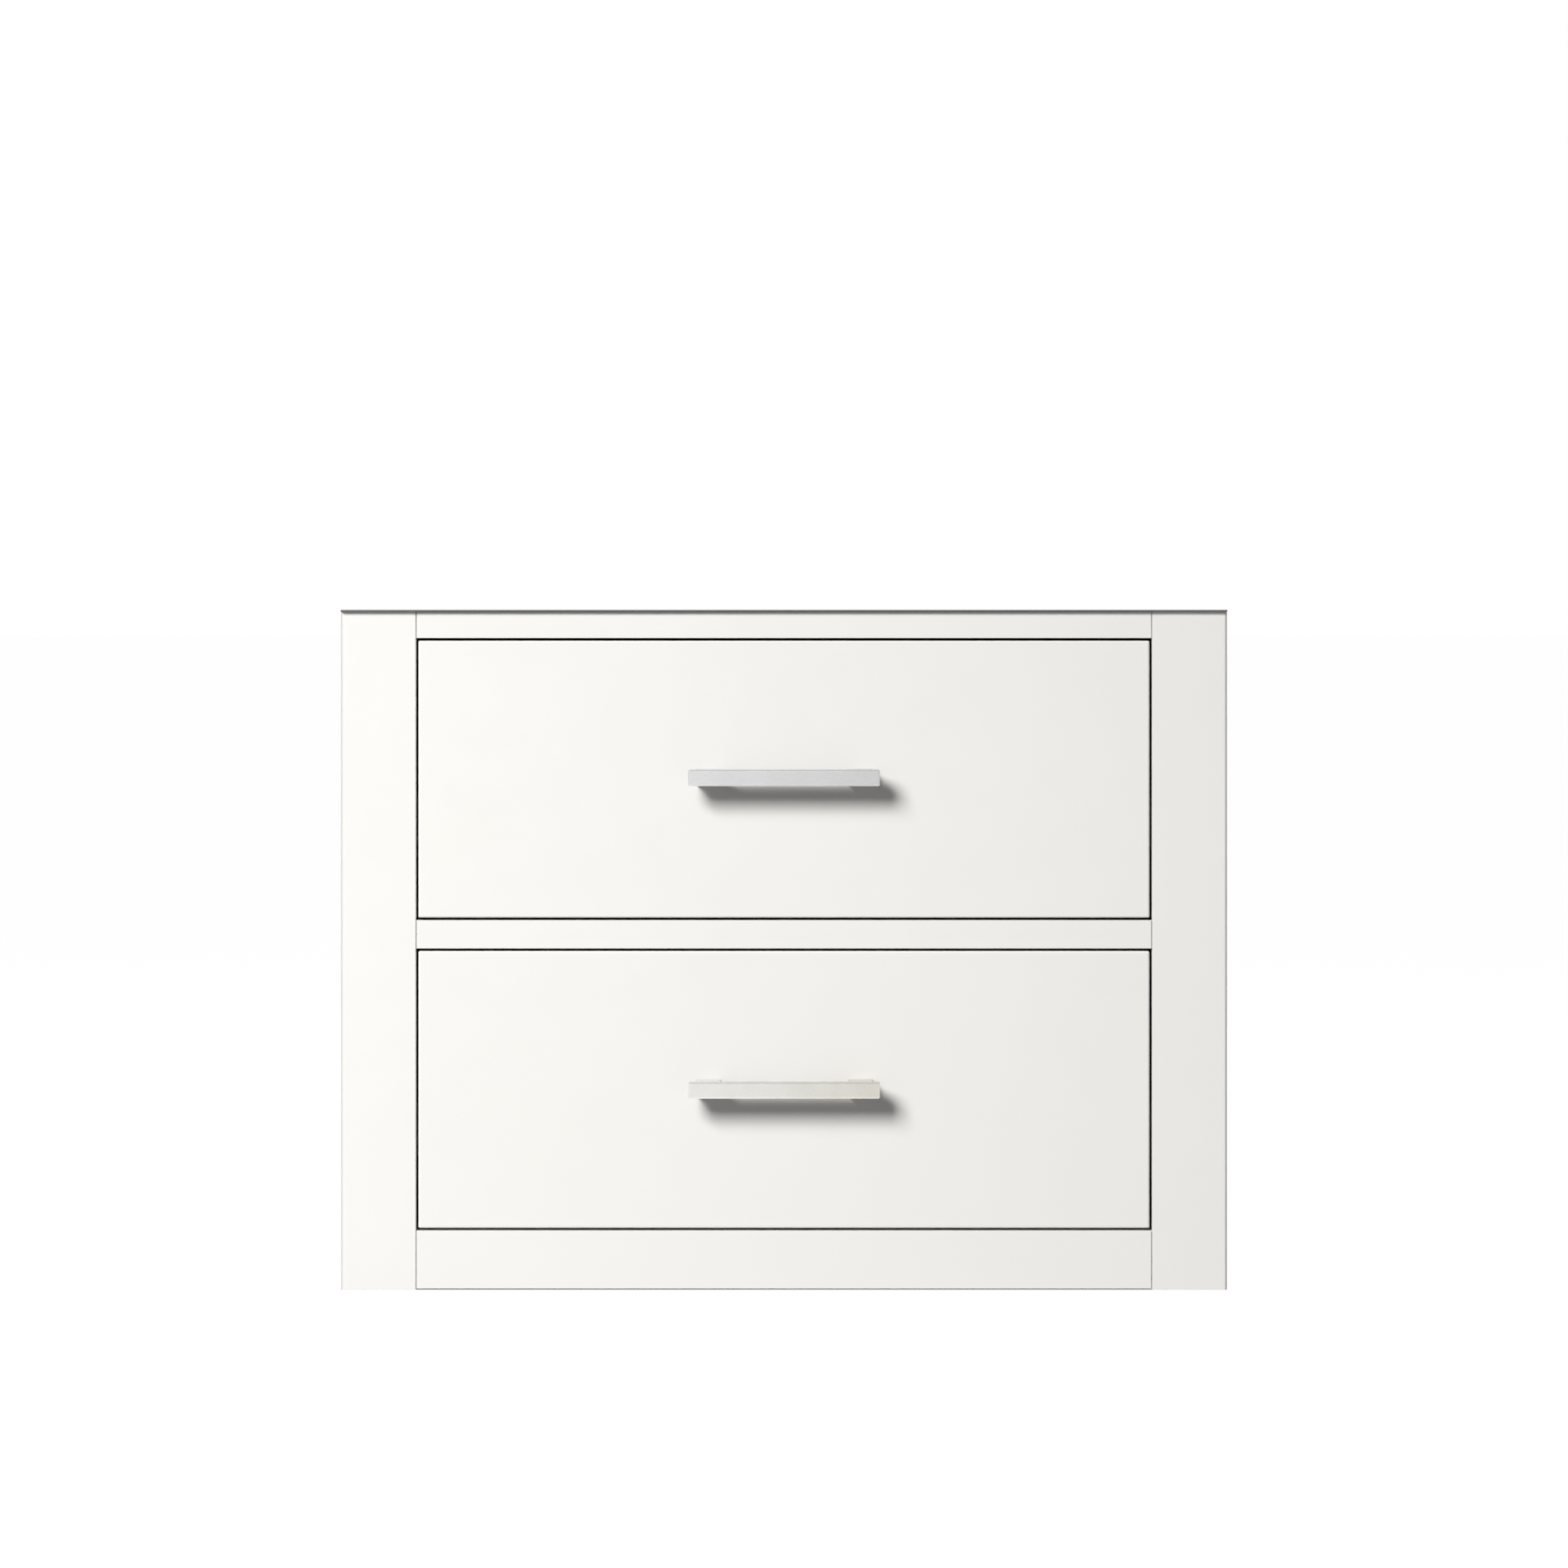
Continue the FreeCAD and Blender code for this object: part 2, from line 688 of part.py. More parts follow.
def build_drawer(level):
    opening_z = openings[level]
    z0 = opening_z + box_floor_clearance
    centre_z = opening_z + opening_height / 2 + handle_lift
    handle_screws, handle_holes = fastened(handle_screw, handle_screw_places(centre_z))
    front_screws, front_holes = fastened(front_screw, front_screw_places(opening_z))
    runner_places = [p for sign in sides.values() for p in drawer_screw_places(level, sign)]
    runner_screws, runner_holes = fastened(runner_screw, runner_places)
    holes = handle_holes + front_holes

    name = f"{level}_drawer"
    save(f"{name}_front", cut(drawer_front(opening_z), holes))
    save(f"{name}_box_front", cut(box_end(box_front_y, 1, z0), holes))
    save(f"{name}_box_back", box_end(box_back_y, -1, z0))
    save(f"{name}_bottom", bottom_board(z0, 0))
    for side, sign in sides.items():
        save(f"{name}_{side}_side", cut(box_side(sign, z0), runner_holes))
        save(f"{level}_{side}_runner_inner", cut(inner_member(level, sign), runner_holes))
        save(f"{level}_{side}_runner_middle", middle_member(level, sign))
    save(f"{level}_handle_bar", handle_bar(centre_z))
    save(f"{level}_handle_feet", [handle_foot(s * foot_spacing / 2, centre_z) for s in (-1, 1)])
    save(f"{level}_handle_screws", handle_screws)
    save(f"{name}_front_screws", front_screws)
    save(f"{level}_runner_drawer_screws", runner_screws)

    cages = {
        "outer": (outer_cage_u, outer_ball_u, outer_ball_w),
        "inner": (inner_cage_u, inner_ball_u, inner_ball_w),
    }
    for stage, section in cages.items():
        pieces = [piece for sign in sides.values() for piece in ball_cage(level, sign, *section)]
        save(f"{level}_{stage}_ball_cages", pieces)


os.makedirs("parts", exist_ok=True)
build_cabinet()
for level_name in openings:
    build_drawer(level_name)
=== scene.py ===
import math
import bpy
import numpy as np
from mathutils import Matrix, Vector


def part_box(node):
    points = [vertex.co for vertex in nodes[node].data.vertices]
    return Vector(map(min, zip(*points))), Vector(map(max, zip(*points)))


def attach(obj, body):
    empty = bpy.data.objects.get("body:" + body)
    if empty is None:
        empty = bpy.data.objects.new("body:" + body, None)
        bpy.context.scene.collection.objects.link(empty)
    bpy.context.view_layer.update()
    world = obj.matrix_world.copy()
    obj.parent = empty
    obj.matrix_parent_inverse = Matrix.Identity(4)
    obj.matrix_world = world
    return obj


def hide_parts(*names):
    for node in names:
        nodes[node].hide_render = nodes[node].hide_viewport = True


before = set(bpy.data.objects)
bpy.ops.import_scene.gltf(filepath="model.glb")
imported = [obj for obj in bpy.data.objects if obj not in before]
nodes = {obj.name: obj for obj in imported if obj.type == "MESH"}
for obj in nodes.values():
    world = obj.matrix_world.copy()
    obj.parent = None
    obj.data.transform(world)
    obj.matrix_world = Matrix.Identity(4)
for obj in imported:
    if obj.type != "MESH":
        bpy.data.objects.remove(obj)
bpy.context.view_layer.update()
levels = ("upper", "lower")
mm = 0.001


# small helpers for node trees

def addNode(tree, kind, values=None, **settings):
    # one node: settings are its own options, values go into its sockets by name or number
    node = tree.nodes.new(kind)
    for key, value in settings.items():
        setattr(node, key, value)
    for key, value in (values or {}).items():
        node.inputs[key].default_value = value
    return node


def wire(tree, *links):
    for outSocket, inSocket in links:
        tree.links.new(outSocket, inSocket)


def calc(tree, operation, a, b=0.5, clamp=False):
    # a Math node: a and b are sockets or plain numbers
    node = addNode(tree, "ShaderNodeMath", operation=operation, use_clamp=clamp)
    for slot, value in enumerate((a, b)):
        if isinstance(value, (int, float)):
            node.inputs[slot].default_value = value
        else:
            tree.links.new(value, node.inputs[slot])
    return node.outputs[0]


def blendColour(tree, factor, a, b):
    # a Mix node on colours: factor, a and b are sockets or plain values
    node = addNode(tree, "ShaderNodeMix", data_type="RGBA")
    for slot, value in ((0, factor), (6, a), (7, b)):
        if isinstance(value, bpy.types.NodeSocket):
            tree.links.new(value, node.inputs[slot])
        else:
            node.inputs[slot].default_value = (*value, 1) if isinstance(value, tuple) else value
    return node.outputs[2]


def toned(colour, share):
    return tuple(value * share for value in colour)


def spread(tree, value, low, high, newLow=0.0, newHigh=1.0):
    # a Map Range node, clamped
    node = addNode(tree, "ShaderNodeMapRange", {1: low, 2: high, 3: newLow, 4: newHigh})
    tree.links.new(value, node.inputs[0])
    return node.outputs[0]


def newGroup(name, inputs, outputs):
    # a shader node group with named sockets: (name, kind, default)
    tree = bpy.data.node_groups.new(name, "ShaderNodeTree")
    for label, kind, default in inputs:
        socket = tree.interface.new_socket(label, in_out="INPUT", socket_type="NodeSocket" + kind)
        if default is not None:
            socket.default_value = default
    for label, kind in outputs:
        tree.interface.new_socket(label, in_out="OUTPUT", socket_type="NodeSocket" + kind)
    return tree, addNode(tree, "NodeGroupInput").outputs, addNode(tree, "NodeGroupOutput").inputs


def useGroup(tree, group, values=None, **links):
    # places a group in a material: values are constants, links are sockets by their names
    node = addNode(tree, "ShaderNodeGroup", node_tree=group)
    for key, value in (values or {}).items():
        node.inputs[key].default_value = value
    for key, socket in links.items():
        tree.links.new(socket, node.inputs[key])
    return node.outputs


# effects shared by the finishes

def makeEdgeGroup():
    # edge mask: how far the normal, rounded over a small radius, leans away from the true one
    tree, ins, outs = newGroup("edgeWearAndHighlight", [("Radius", "Float", 0.6 * mm), ("Gain", "Float", 3.0)],
                               [("Mask", "Float"), ("Normal", "Vector")])
    bevel = addNode(tree, "ShaderNodeBevel", samples=6)
    shape = addNode(tree, "ShaderNodeNewGeometry")
    dot = addNode(tree, "ShaderNodeVectorMath", operation="DOT_PRODUCT")
    wire(tree, (ins["Radius"], bevel.inputs["Radius"]), (bevel.outputs[0], dot.inputs[0]),
         (shape.outputs["Normal"], dot.inputs[1]))
    lean = calc(tree, "SUBTRACT", 1.0, dot.outputs["Value"])
    wire(tree, (calc(tree, "MULTIPLY", lean, ins["Gain"], clamp=True), outs["Mask"]),
         (bevel.outputs[0], outs["Normal"]))
    return tree


def makePeelGroup():
    # sprayed lacquer: fine orange peel for the height, and slow drifts for colour and gloss
    tree, ins, outs = newGroup("sprayedCoat", [("Vector", "Vector", None), ("Peel Size", "Float", 2.4 * mm),
                                               ("Drift Size", "Float", 160 * mm)],
                               [("Height", "Float"), ("Drift", "Float"), ("Gloss", "Float")])
    peel = addNode(tree, "ShaderNodeTexNoise", {"Detail": 2.0, "Roughness": 0.45})
    drift = addNode(tree, "ShaderNodeTexNoise", {"Detail": 1.0, "Roughness": 0.4})
    gloss = addNode(tree, "ShaderNodeTexNoise", {"Detail": 4.0, "Roughness": 0.6})
    glossScale = calc(tree, "MULTIPLY", calc(tree, "DIVIDE", 1.0, ins["Drift Size"]), 4.0)
    for node in (peel, drift, gloss):
        wire(tree, (ins["Vector"], node.inputs["Vector"]))
    wire(tree, (calc(tree, "DIVIDE", 1.0, ins["Peel Size"]), peel.inputs["Scale"]),
         (calc(tree, "DIVIDE", 1.0, ins["Drift Size"]), drift.inputs["Scale"]),
         (glossScale, gloss.inputs["Scale"]),
         (peel.outputs[0], outs["Height"]), (drift.outputs[0], outs["Drift"]),
         (gloss.outputs[0], outs["Gloss"]))
    return tree


def makeGrainGroup():
    # wood: growth bands across a board, pulled long along its own X, with short dark pores
    tree, ins, outs = newGroup("woodGrain", [("Vector", "Vector", None), ("Band Size", "Float", 14 * mm),
                                             ("Pore Size", "Float", 1.1 * mm)],
                               [("Bands", "Float"), ("Pores", "Float"), ("Drift", "Float")])
    stretch = addNode(tree, "ShaderNodeMapping", {"Scale": (0.09, 1.0, 1.0)})
    poreStretch = addNode(tree, "ShaderNodeMapping", {"Scale": (0.045, 1.0, 1.0)})
    warp = addNode(tree, "ShaderNodeTexNoise", {"Scale": 9.0, "Detail": 2.0})
    push = addNode(tree, "ShaderNodeVectorMath", {"Scale": 0.05}, operation="SCALE")
    bent = addNode(tree, "ShaderNodeVectorMath", operation="ADD")
    rings = addNode(tree, "ShaderNodeTexNoise", {"Detail": 3.0, "Roughness": 0.55})
    pores = addNode(tree, "ShaderNodeTexNoise", {"Detail": 2.0, "Roughness": 0.7})
    drift = addNode(tree, "ShaderNodeTexNoise", {"Scale": 6.0, "Detail": 1.0})
    wire(tree, (ins["Vector"], stretch.inputs[0]), (ins["Vector"], poreStretch.inputs[0]),
         (stretch.outputs[0], warp.inputs[0]), (warp.outputs[1], push.inputs[0]),
         (stretch.outputs[0], bent.inputs[0]), (push.outputs[0], bent.inputs[1]),
         (bent.outputs[0], rings.inputs[0]), (poreStretch.outputs[0], pores.inputs[0]),
         (stretch.outputs[0], drift.inputs[0]),
         (calc(tree, "DIVIDE", 1.0, ins["Band Size"]), rings.inputs["Scale"]),
         (calc(tree, "DIVIDE", 1.0, ins["Pore Size"]), pores.inputs["Scale"]))
    saw = calc(tree, "FRACT", calc(tree, "MULTIPLY", rings.outputs[0], 5.0))
    wire(tree, (calc(tree, "POWER", saw, 1.6), outs["Bands"]),
         (spread(tree, pores.outputs[0], 0.56, 0.74), outs["Pores"]), (drift.outputs[0], outs["Drift"]))
    return tree


def makeBrushGroup():
    # brushed metal: hair-fine streaks along X, with slow clouds where the belt pressed harder
    tree, ins, outs = newGroup("brushing", [("Vector", "Vector", None), ("Streak Size", "Float", 0.25 * mm),
                                            ("Streak Length", "Float", 40.0)],
                               [("Streaks", "Float"), ("Clouds", "Float")])
    stretch = addNode(tree, "ShaderNodeVectorMath", operation="MULTIPLY")
    pull = addNode(tree, "ShaderNodeCombineXYZ", {1: 1.0, 2: 1.0})
    streaks = addNode(tree, "ShaderNodeTexNoise", {"Detail": 3.0, "Roughness": 0.6})
    clouds = addNode(tree, "ShaderNodeTexNoise", {"Scale": 38.0, "Detail": 3.0, "Distortion": 0.6})
    wire(tree, (calc(tree, "DIVIDE", 1.0, ins["Streak Length"]), pull.inputs[0]),
         (ins["Vector"], stretch.inputs[0]), (pull.outputs[0], stretch.inputs[1]),
         (stretch.outputs[0], streaks.inputs[0]), (ins["Vector"], clouds.inputs[0]),
         (calc(tree, "DIVIDE", 1.0, ins["Streak Size"]), streaks.inputs["Scale"]),
         (streaks.outputs[0], outs["Streaks"]), (clouds.outputs[0], outs["Clouds"]))
    return tree


def makeDustGroup():
    # dust: soft specks that settle where the surface faces up
    tree, ins, outs = newGroup("dustFilm", [("Vector", "Vector", None), ("Amount", "Float", 0.2)],
                               [("Mask", "Float")])
    shape = addNode(tree, "ShaderNodeNewGeometry")
    axes = addNode(tree, "ShaderNodeSeparateXYZ")
    specks = addNode(tree, "ShaderNodeTexNoise", {"Scale": 260.0, "Detail": 4.0, "Roughness": 0.7})
    wire(tree, (shape.outputs["Normal"], axes.inputs[0]), (ins["Vector"], specks.inputs[0]))
    up = spread(tree, axes.outputs[2], 0.5, 0.95)
    film = calc(tree, "MULTIPLY", spread(tree, specks.outputs[0], 0.35, 0.75), up)
    wire(tree, (calc(tree, "MULTIPLY", film, ins["Amount"]), outs["Mask"]))
    return tree


print("scene: building the shared effects")
edgeWearAndHighlight = makeEdgeGroup()
sprayedCoat = makePeelGroup()
woodGrain = makeGrainGroup()
brushing = makeBrushGroup()
dustFilm = makeDustGroup()


# finishes

def startMaterial(name, **sockets):
    # a Principled material with constants on the shader's own sockets, and object coordinates to hand
    material = bpy.data.materials.new(name)
    material.use_nodes = True
    tree = material.node_tree
    tree.nodes.clear()
    shader = addNode(tree, "ShaderNodeBsdfPrincipled")
    for label, value in sockets.items():
        shader.inputs[label.replace("_", " ")].default_value = value
    output = addNode(tree, "ShaderNodeOutputMaterial")
    wire(tree, (shader.outputs[0], output.inputs[0]))
    place = addNode(tree, "ShaderNodeTexCoord").outputs["Object"]
    return material, tree, shader.inputs, place


def addBump(tree, shader, height, distance, normal):
    bump = addNode(tree, "ShaderNodeBump", {"Strength": 1.0, "Distance": distance})
    wire(tree, (height, bump.inputs["Height"]), (normal, bump.inputs["Normal"]),
         (bump.outputs[0], shader["Normal"]))


lacquerLook = {
    "colour": (0.885, 0.872, 0.850),
    "warmDrift": (0.885, 0.868, 0.840),
    "edge": (0.80, 0.78, 0.75),
    "edgeAmount": 0.35,
    "roughness": 0.36,
    "roughnessSwing": 0.06,
    "peelSize": 2.2 * mm,
    "peelHeight": 0.012 * mm,
    "edgeRadius": 0.5 * mm,
    "edgeGain": 2.5,
    "dust": (0.72, 0.70, 0.67),
    "dustAmount": 0.10,
    "rim": (0.58, 0.57, 0.55),   # painted shade on the stiles' outer front corners, a darker line
    "rimWidth": 2.4 * mm,
    "rimRight": 0.45,            # how much of that painted shade the right stile shows
}


def rimMask(tree, place):
    # painted shade: high along a stile's outer front corner, from the distances to the stile's side and to
    # its face, weaker on the right stile
    width = lacquerLook["rimWidth"]
    low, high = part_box("right_stile")
    axes = addNode(tree, "ShaderNodeSeparateXYZ")
    wire(tree, (place, axes.inputs[0]))
    nearSide = spread(tree, calc(tree, "ABSOLUTE", axes.outputs[0]), high.x - width, high.x - 0.3 * width)
    nearFace = spread(tree, axes.outputs[1], low.y + 0.3 * width, low.y + width, 1.0, 0.0)
    amount = spread(tree, axes.outputs[0], -high.x, high.x, 1.0, lacquerLook["rimRight"])
    return calc(tree, "MULTIPLY", amount, calc(tree, "MULTIPLY", nearSide, nearFace))


def makeLacquer(name, rimmed=False):
    look = lacquerLook
    material, tree, shader, place = startMaterial(name, IOR=1.48)
    coat = useGroup(tree, sprayedCoat, {"Peel Size": look["peelSize"]}, Vector=place)
    edge = useGroup(tree, edgeWearAndHighlight, {"Radius": look["edgeRadius"], "Gain": look["edgeGain"]})
    dust = useGroup(tree, dustFilm, {"Amount": look["dustAmount"]}, Vector=place)
    base = blendColour(tree, spread(tree, coat["Drift"], 0.35, 0.65), look["colour"], look["warmDrift"])
    edgeTinted = blendColour(tree, calc(tree, "MULTIPLY", edge["Mask"], look["edgeAmount"]), base, look["edge"])
    if rimmed:
        # painted shade: the stiles' outer front corners darkened
        edgeTinted = blendColour(tree, rimMask(tree, place), edgeTinted, look["rim"])
    dusty = blendColour(tree, dust["Mask"], edgeTinted, look["dust"])
    low, swing = look["roughness"], look["roughnessSwing"]
    rough = spread(tree, coat["Gloss"], 0.3, 0.7, low - swing, low + swing)
    wire(tree, (dusty, shader["Base Color"]),
         (calc(tree, "ADD", rough, dust["Mask"], clamp=True), shader["Roughness"]))
    addBump(tree, shader, coat["Height"], look["peelHeight"], edge["Normal"])
    return material


topLook = {
    "core": (0.105, 0.105, 0.107),
    "coreFleck": (0.15, 0.15, 0.15),
    "faceFrom": 0.80,            # a surface facing up more than this is the white face
    "roughness": (0.38, 0.50),
    "peelSize": 1.4 * mm,
    "peelHeight": 0.015 * mm,
    "driftSize": 90 * mm,
    "edgeRadius": 0.25 * mm,
    "edgeGain": 2.0,
    "dust": (0.70, 0.68, 0.65),
    "dustAmount": 0.16,
}


def makeTopSheet():
    # white face, dark core: the face shows where the surface looks straight up
    look = topLook
    material, tree, shader, place = startMaterial("topSheet", IOR=1.5)
    coat = useGroup(tree, sprayedCoat, {"Peel Size": look["peelSize"], "Drift Size": look["driftSize"]},
                    Vector=place)
    edge = useGroup(tree, edgeWearAndHighlight, {"Radius": look["edgeRadius"], "Gain": look["edgeGain"]})
    dust = useGroup(tree, dustFilm, {"Amount": look["dustAmount"]}, Vector=place)
    fleck = addNode(tree, "ShaderNodeTexNoise", {"Scale": 900.0, "Detail": 3.0})
    shape = addNode(tree, "ShaderNodeNewGeometry")
    axes = addNode(tree, "ShaderNodeSeparateXYZ")
    wire(tree, (place, fleck.inputs[0]), (shape.outputs["True Normal"], axes.inputs[0]))
    isFace = calc(tree, "GREATER_THAN", axes.outputs[2], look["faceFrom"])
    face = blendColour(tree, coat["Drift"], lacquerLook["colour"], lacquerLook["warmDrift"])
    core = blendColour(tree, spread(tree, fleck.outputs[0], 0.4, 0.65), look["core"], look["coreFleck"])
    whole = blendColour(tree, isFace, core, face)
    dusty = blendColour(tree, dust["Mask"], whole, look["dust"])
    rough = spread(tree, coat["Gloss"], 0.3, 0.7, *look["roughness"])
    wire(tree, (dusty, shader["Base Color"]),
         (calc(tree, "ADD", rough, dust["Mask"], clamp=True), shader["Roughness"]))
    addBump(tree, shader, coat["Height"], look["peelHeight"], edge["Normal"])
    return material


nickelLook = {
    # painted reflection: each handle level has its own tones, lighter at the bar's left end than at its right
    "upper": {"left": (0.745, 0.745, 0.752), "right": (0.64, 0.637, 0.643),
              "roughness": (0.26, 0.36)},
    "lower": {"left": (0.83, 0.823, 0.797), "right": (0.685, 0.667, 0.605),
              "roughness": (0.20, 0.30)},
    # painted highlight: the bright tone along the bevels
    "edge": (0.95, 0.95, 0.95),
    "edgeAmount": 0.7,
    "edgeRadius": 0.25 * mm,
    "edgeGain": 2.0,
    "reflectionHalfLength": 82 * mm,       # painted reflection: the tone darkens from left to right over the bar's length
    "cloud": 0.1,                # how far the slow clouds push that drift
    "streakSize": 0.22 * mm,
    "streak": 0.14,              # how much the brushing darkens the tone
    "streakHeight": 0.005 * mm,
    "thrown": 0.2,               # share of the light it throws onto its neighbours
}


def makeNickel(level):
    look = {**nickelLook, **nickelLook[level]}
    material, tree, shader, place = startMaterial(f"brushedNickel.{level}", Metallic=1.0, Anisotropic=0.35)
    brush = useGroup(tree, brushing, {"Streak Size": look["streakSize"]}, Vector=place)
    edge = useGroup(tree, edgeWearAndHighlight, {"Radius": look["edgeRadius"], "Gain": look["edgeGain"]})
    axes = addNode(tree, "ShaderNodeSeparateXYZ")
    ray = addNode(tree, "ShaderNodeLightPath")
    wire(tree, (place, axes.inputs[0]))
    # painted reflection: the tone runs from the left one to the right one along the bar, pushed about by the
    # slow clouds
    along = spread(tree, axes.outputs[0], -look["reflectionHalfLength"], look["reflectionHalfLength"])
    cloud = spread(tree, brush["Clouds"], 0.38, 0.66, -look["cloud"], look["cloud"])
    base = blendColour(tree, calc(tree, "ADD", along, cloud, clamp=True), look["left"], look["right"])
    streak = spread(tree, brush["Streaks"], 0.3, 0.7, 0.0, look["streak"])
    streaked = blendColour(tree, streak, base, toned(look["right"], 0.8))
    # painted highlight along the bevels, from the edge mask
    edgeTinted = blendColour(tree, calc(tree, "MULTIPLY", edge["Mask"], look["edgeAmount"]), streaked, look["edge"])
    held = calc(tree, "MULTIPLY", ray.outputs["Is Diffuse Ray"], 1 - look["thrown"])
    thrown = blendColour(tree, held, edgeTinted, (0, 0, 0))
    rough = spread(tree, brush["Streaks"], 0.3, 0.7, *look["roughness"])
    wire(tree, (thrown, shader["Base Color"]), (rough, shader["Roughness"]))
    addBump(tree, shader, brush["Streaks"], look["streakHeight"], edge["Normal"])
    return material


woodLook = {
    "drawerWood": {"light": (0.66, 0.47, 0.285), "dark": (0.50, 0.325, 0.175), "pore": (0.33, 0.20, 0.10),
                   "bandSize": 26 * mm, "poreAmount": 0.35, "roughness": (0.42, 0.54)},
    "beech": {"light": (0.62, 0.42, 0.26), "dark": (0.52, 0.33, 0.19), "pore": (0.38, 0.22, 0.12),
              "bandSize": 9 * mm, "poreAmount": 0.5, "roughness": (0.50, 0.62)},
    "edgeRadius": 0.6 * mm,
    "edgeGain": 2.5,
    "edgeAmount": 0.3,
    "grainHeight": 0.03 * mm,
}
grainTurns = {               # turns a board's own length onto the grain's X
    "x": (0, 0, 0),
    "y": (0, 0, math.pi / 2),
}


def makeWood(kind, along):
    look = {**woodLook, **woodLook[kind]}
    material, tree, shader, place = startMaterial(f"{kind}.{along}", IOR=1.46)
    turn = addNode(tree, "ShaderNodeMapping", {"Rotation": grainTurns[along]})
    wire(tree, (place, turn.inputs[0]))
    grain = useGroup(tree, woodGrain, {"Band Size": look["bandSize"]}, Vector=turn.outputs[0])
    edge = useGroup(tree, edgeWearAndHighlight, {"Radius": look["edgeRadius"], "Gain": look["edgeGain"]})
    banded = blendColour(tree, spread(tree, grain["Bands"], 0.0, 1.0, 0.0, 0.75), look["light"], look["dark"])
    drift = spread(tree, grain["Drift"], 0.35, 0.7, 0.0, 0.4)
    drifted = blendColour(tree, drift, banded, toned(look["light"], 1.12))
    pores = calc(tree, "MULTIPLY", grain["Pores"], look["poreAmount"])
    pored = blendColour(tree, pores, drifted, look["pore"])
    wear = calc(tree, "MULTIPLY", edge["Mask"], look["edgeAmount"])
    edgeTinted = blendColour(tree, wear, pored, toned(look["light"], 1.2))
    rough = spread(tree, grain["Bands"], 0.0, 1.0, *look["roughness"])
    height = calc(tree, "SUBTRACT", calc(tree, "MULTIPLY", grain["Bands"], 0.3), grain["Pores"])
    wire(tree, (edgeTinted, shader["Base Color"]), (rough, shader["Roughness"]))
    addBump(tree, shader, height, look["grainHeight"], edge["Normal"])
    return material


plyLook = {
    "light": (0.66, 0.50, 0.33),
    "dark": (0.56, 0.40, 0.24),
    "endPly": (0.36, 0.235, 0.13),
    "plySize": 1.4 * mm,
    "bandSize": 32 * mm,
    "poreSize": 0.9 * mm,
    "poreAmount": 0.3,
    "roughness": (0.46, 0.60),
    "edgeRadius": 0.5 * mm,
    "edgeGain": 2.0,
    "edgeAmount": 0.25,
    "grainHeight": 0.04 * mm,
}


def makePlywood(along, thickness):
    # thickness names the axis across the sheet: its plies show as thin stripes on the edges
    look = plyLook
    material, tree, shader, place = startMaterial(f"plywood.{along}{thickness}", IOR=1.46)
    turn = addNode(tree, "ShaderNodeMapping", {"Rotation": grainTurns[along]})
    wire(tree, (place, turn.inputs[0]))
    grain = useGroup(tree, woodGrain, {"Band Size": look["bandSize"], "Pore Size": look["poreSize"]},
                     Vector=turn.outputs[0])
    edge = useGroup(tree, edgeWearAndHighlight, {"Radius": look["edgeRadius"], "Gain": look["edgeGain"]})
    across = addNode(tree, "ShaderNodeSeparateXYZ")
    facing = addNode(tree, "ShaderNodeSeparateXYZ")
    shape = addNode(tree, "ShaderNodeNewGeometry")
    wire(tree, (place, across.inputs[0]), (shape.outputs["True Normal"], facing.inputs[0]))
    index = "xyz".index(thickness)
    layer = calc(tree, "FRACT", calc(tree, "DIVIDE", across.outputs[index], 2 * look["plySize"]))
    isDark = calc(tree, "GREATER_THAN", layer, 0.5)
    onEdge = calc(tree, "LESS_THAN", calc(tree, "ABSOLUTE", facing.outputs[index]), 0.5)
    face = blendColour(tree, spread(tree, grain["Bands"], 0.0, 1.0, 0.0, 0.6), look["light"], look["dark"])
    pores = calc(tree, "MULTIPLY", grain["Pores"], look["poreAmount"])
    pored = blendColour(tree, pores, face, look["endPly"])
    stripes = blendColour(tree, calc(tree, "MULTIPLY", isDark, onEdge), pored, look["endPly"])
    wear = calc(tree, "MULTIPLY", edge["Mask"], look["edgeAmount"])
    edgeTinted = blendColour(tree, wear, stripes, look["light"])
    rough = spread(tree, grain["Drift"], 0.3, 0.7, *look["roughness"])
    pits = calc(tree, "MULTIPLY", grain["Pores"], -0.6)
    height = calc(tree, "ADD", calc(tree, "MULTIPLY", layer, onEdge), pits)
    wire(tree, (edgeTinted, shader["Base Color"]), (rough, shader["Roughness"]))
    addBump(tree, shader, height, look["grainHeight"], edge["Normal"])
    return material


backLook = {
    "colour": (0.80, 0.785, 0.755),
    "drift": (0.76, 0.735, 0.69),
    "board": (0.42, 0.31, 0.20),     # bare hardboard where the paint has rubbed off the edges
    "boardAmount": 0.6,
    "roughness": (0.55, 0.70),
    "textureSize": 1.6 * mm,
    "textureHeight": 0.05 * mm,
    "driftSize": 120 * mm,
    "edgeRadius": 0.4 * mm,
    "edgeGain": 2.5,
}


def makeBackBoard():
    # painted hardboard: a matt pale coat over a faint pressed texture
    look = backLook
    material, tree, shader, place = startMaterial("backBoard", IOR=1.45)
    coat = useGroup(tree, sprayedCoat, {"Peel Size": look["textureSize"], "Drift Size": look["driftSize"]},
                    Vector=place)
    edge = useGroup(tree, edgeWearAndHighlight, {"Radius": look["edgeRadius"], "Gain": look["edgeGain"]})
    base = blendColour(tree, coat["Drift"], look["colour"], look["drift"])
    edgeTinted = blendColour(tree, calc(tree, "MULTIPLY", edge["Mask"], look["boardAmount"]), base, look["board"])
    rough = spread(tree, coat["Gloss"], 0.3, 0.7, *look["roughness"])
    wire(tree, (edgeTinted, shader["Base Color"]), (rough, shader["Roughness"]))
    addBump(tree, shader, coat["Height"], look["textureHeight"], edge["Normal"])
    return material


